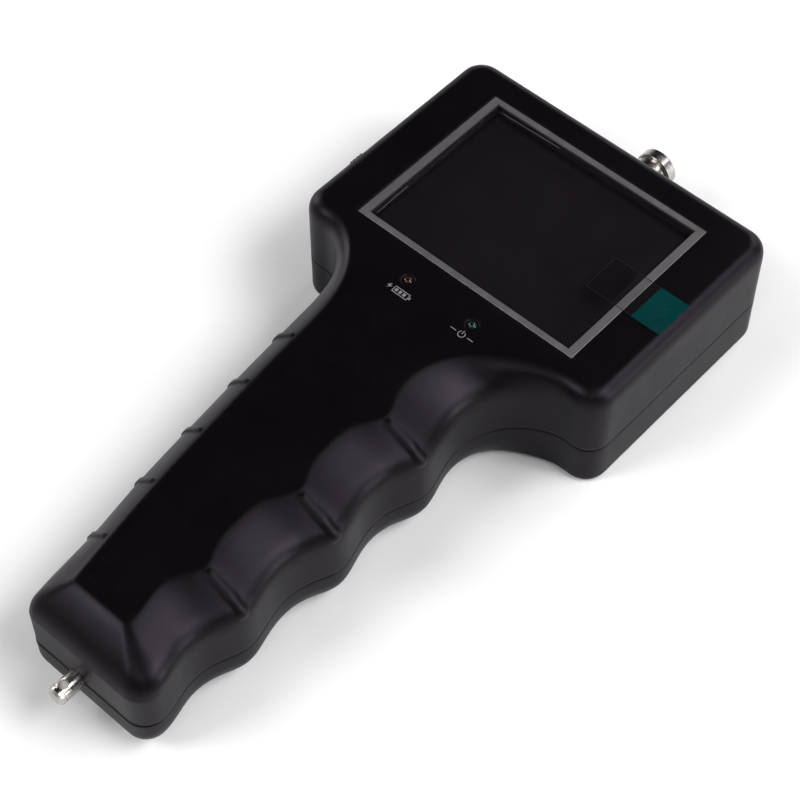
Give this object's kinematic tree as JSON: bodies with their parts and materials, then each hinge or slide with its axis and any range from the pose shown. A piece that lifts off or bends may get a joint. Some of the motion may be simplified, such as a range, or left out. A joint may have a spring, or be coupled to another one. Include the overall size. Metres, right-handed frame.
{
  "type": "handheld display instrument",
  "caption": "Handheld display tester: flat screen head on a grip with finger grooves, coaxial socket on the top edge, strap post at the grip's end, slide switch on the side.",
  "frame": {"origin": "centre of the bottom of the whole box, knob, socket and strap post included", "axes": "+Z out of the screen face, +Y from the grip towards the signal socket, +X to the right when the screen is read with the grip below it"},
  "size_m": [0.113, 0.2426, 0.0396],
  "materials": {
    "case": "fine matte texture",
    "case_back": "fine matte texture",
    "screw_steel": "blackened",
    "bezel_metal": "satin",
    "lens_clear": "anti-glare",
    "film_clear": "clear film",
    "tab_green": "glossy",
    "gasket_foam": "matte",
    "lcd_glass": "satin",
    "light_guide": "milky",
    "tray_metal": "bright",
    "ribbon": "satin",
    "lamp_red": "diffused",
    "lamp_green": "diffused",
    "tinned_wire": "tinned",
    "board_green": "solder mask",
    "chip_black": "matte",
    "header_white": "matte",
    "knob_black": "matte",
    "jack_black": "matte",
    "contact_gold": "gold plated",
    "socket_nickel": "nickel plated",
    "insulator_white": "matte",
    "coax_black": "matte",
    "post_nickel": "nickel plated",
    "cell_wrap": "shrink sleeve",
    "cradle_black": "matte",
    "strap_white": "woven",
    "lead_red": "matte",
    "lead_black": "matte"
  },
  "bodies": {
    "case": {"top_shell": "case", "bottom_shell": "case_back", "case_screws": "screw_steel", "screen_bezel": "bezel_metal", "screen_lens": "lens_clear", "protective_film": "film_clear", "pull_strip": "film_clear", "pull_tab": "tab_green", "lcd_gasket": "gasket_foam", "lcd_panel": "lcd_glass", "lcd_backlight": "light_guide", "lcd_tray": "tray_metal", "lcd_ribbon": "ribbon", "charge_lamp": "lamp_red", "power_lamp": "lamp_green", "lamp_leads": "tinned_wire", "main_pcb": "board_green", "pcb_chips": "chip_black", "pcb_headers": "header_white", "pcb_screws": "screw_steel", "power_switch_body": "tray_metal", "charge_jack": "jack_black", "charge_jack_pin": "contact_gold", "connector_shell": "socket_nickel", "connector_insulator": "insulator_white", "connector_contact": "contact_gold", "connector_washer": "socket_nickel", "connector_nut": "socket_nickel", "signal_coax": "coax_black", "strap_post": "post_nickel", "strap_post_nut": "post_nickel", "battery_cells": "cell_wrap", "battery_cradle": "cradle_black", "battery_straps": "strap_white", "protection_board": "board_green", "battery_lead_red": "lead_red", "battery_lead_black": "lead_black"},
    "power_switch_slider": {"power_switch_slider": "knob_black"}
  },
  "joints": [
    {"name": "power_switch_slide", "type": "slide", "parent": "case", "child": "power_switch_slider", "axis": [0, 1, 0], "range_m": [0, 0.003]}
  ]
}
